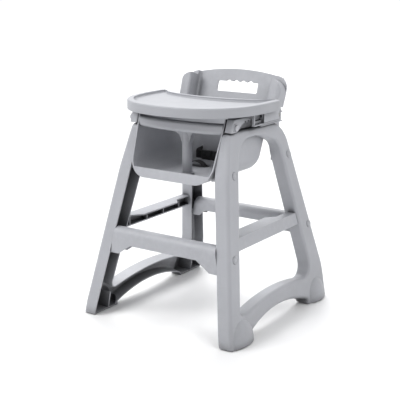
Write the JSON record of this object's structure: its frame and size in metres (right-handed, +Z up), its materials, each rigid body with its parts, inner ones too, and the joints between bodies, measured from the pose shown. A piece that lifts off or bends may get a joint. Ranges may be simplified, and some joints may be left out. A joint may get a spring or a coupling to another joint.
{
  "type": "baby high chair",
  "caption": "Stackable moulded high chair: two leaning side frames with crossbars, bucket seat, restraint bar, waist belt and a sliding latched tray",
  "frame": {"origin": "on the floor under the middle of the chair's outline", "axes": "+Z up; the child faces -Y; +X is the child's left side, called the right-hand side seen from the front camera; X = 0 is the plane of symmetry"},
  "size_m": [0.594, 0.594, 0.756],
  "materials": {
    "frame_plastic": "satin, fine moulded grain",
    "tray_plastic": "satin, slightly smoother than the frame",
    "cap_plastic": "satin",
    "glide_rubber": "matt",
    "steel": "zinc plated",
    "brass": "turned",
    "webbing": "woven",
    "buckle_plastic": "satin"
  },
  "bodies": {
    "chair": {"armrest_screw_caps": "cap_plastic", "armrest_screws": "steel", "backrest": "frame_plastic", "backrest_screws": "steel", "belt_anchor_bars": "steel", "belt_tail": "webbing", "bolt_caps": "cap_plastic", "buckle_housing": "buckle_plastic", "buckle_spring": "steel", "crossbar_bolts": "steel", "crossbar_inserts": "brass", "foot_glides": "glide_rubber", "front_crossbar": "frame_plastic", "left_armrest": "frame_plastic", "left_belt_strap": "webbing", "left_side_frame": "frame_plastic", "left_side_rail": "frame_plastic", "post_screw": "steel", "rear_crossbar": "frame_plastic", "restraint_t_bar": "frame_plastic", "right_armrest": "frame_plastic", "right_belt_strap": "webbing", "right_side_frame": "frame_plastic", "right_side_rail": "frame_plastic", "seat_bolts": "steel", "seat_bowl": "frame_plastic", "seat_inserts": "brass"},
    "tray_assembly": {"tray": "tray_plastic", "right_tray_guide": "tray_plastic", "left_tray_guide": "tray_plastic", "tray_guide_screws": "steel", "right_latch_pin": "steel", "left_latch_pin": "steel", "right_latch_spring": "steel", "left_latch_spring": "steel"},
    "right_latch": {"right_tray_latch": "frame_plastic"},
    "left_latch": {"left_tray_latch": "frame_plastic"},
    "tongue": {"buckle_tongue": "buckle_plastic"},
    "button": {"buckle_button": "buckle_plastic"}
  },
  "joints": [
    {"name": "tray_slide", "type": "slide", "parent": "chair", "child": "tray_assembly", "axis": [0, -1, 0], "range_m": [0, 0.048]},
    {"name": "right_latch_swing", "type": "hinge", "parent": "tray_assembly", "child": "right_latch", "pos_m": [0.203, 0.087, 0.638], "axis": [0, 0, 1], "range_deg": [0, 4], "stiffness_Nm_per_rad": 0.3},
    {"name": "left_latch_swing", "type": "hinge", "parent": "tray_assembly", "child": "left_latch", "pos_m": [-0.203, 0.087, 0.638], "axis": [0, 0, -1], "range_deg": [0, 4], "stiffness_Nm_per_rad": 0.3},
    {"name": "buckle_tongue_slide", "type": "slide", "parent": "chair", "child": "tongue", "axis": [1, 0, 0], "range_m": [0, 0.02], "deforming": ["right_belt_strap"]},
    {"name": "buckle_button_press", "type": "slide", "parent": "chair", "child": "button", "axis": [0, 1, 0], "range_m": [0, 0.0025], "stiffness_N_per_m": 300, "deforming": ["buckle_spring"]}
  ]
}
